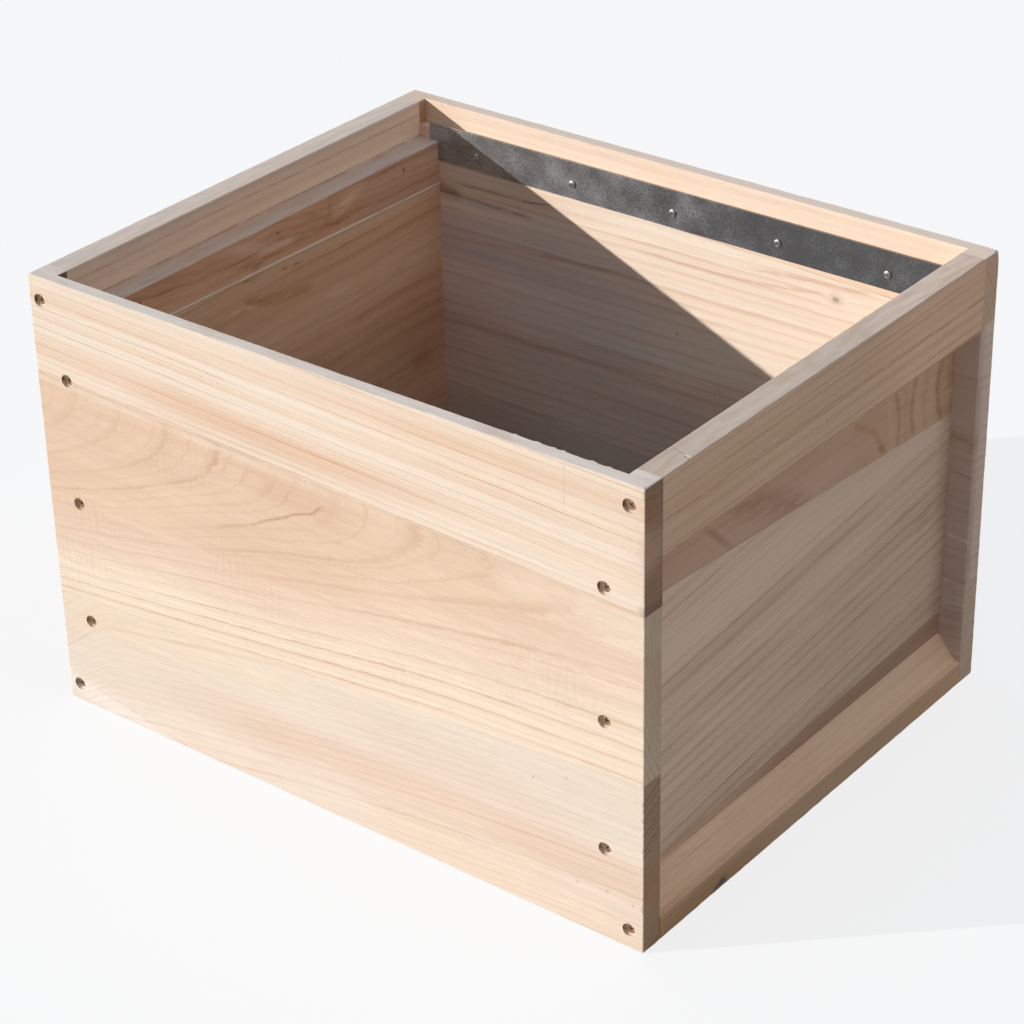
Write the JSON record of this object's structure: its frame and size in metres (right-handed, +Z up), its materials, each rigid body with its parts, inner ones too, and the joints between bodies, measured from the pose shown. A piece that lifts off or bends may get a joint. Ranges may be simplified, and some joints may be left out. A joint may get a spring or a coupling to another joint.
{
  "type": "hive box",
  "caption": "Open wooden hive body with flat long walls, recessed ends with hand-hold rails, lug rabbets and steel frame runners; no lid, floor or frames.",
  "frame": {"origin": "middle of the box's footprint, at the level of its lower edge", "axes": "+X along the flat long walls, +Y across them from the front wall to the back wall, +Z up"},
  "size_m": [0.56, 0.45, 0.37],
  "materials": {
    "wall_wood": "planed, unpainted",
    "panel_wood": "planed, unpainted",
    "rail_wood": "sawn and planed, unpainted",
    "galvanised_sheet": "zinc coated, dull spangle",
    "bright_steel": "bright zinc plated",
    "bronzed_steel": "yellow passivated, darkened",
    "dull_steel": "bare, dull"
  },
  "bodies": {
    "root": {"front_wall_upper_board": "wall_wood", "front_wall_middle_board": "wall_wood", "front_wall_lower_board": "wall_wood", "back_wall_upper_board": "wall_wood", "back_wall_middle_board": "wall_wood", "back_wall_lower_board": "wall_wood", "left_panel_upper_board": "panel_wood", "left_panel_middle_board": "panel_wood", "left_panel_lower_board": "panel_wood", "right_panel_upper_board": "panel_wood", "right_panel_middle_board": "panel_wood", "right_panel_lower_board": "panel_wood", "left_top_rail": "rail_wood", "left_bottom_rail": "rail_wood", "right_top_rail": "rail_wood", "right_bottom_rail": "rail_wood", "front_frame_runner": "galvanised_sheet", "back_frame_runner": "galvanised_sheet", "front_runner_screws": "bright_steel", "back_runner_screws": "bright_steel", "front_left_screws": "bronzed_steel", "front_right_screws": "bronzed_steel", "back_left_screws": "bronzed_steel", "back_right_screws": "bronzed_steel", "left_rail_brads": "dull_steel", "right_rail_brads": "dull_steel"}
  },
  "joints": []
}
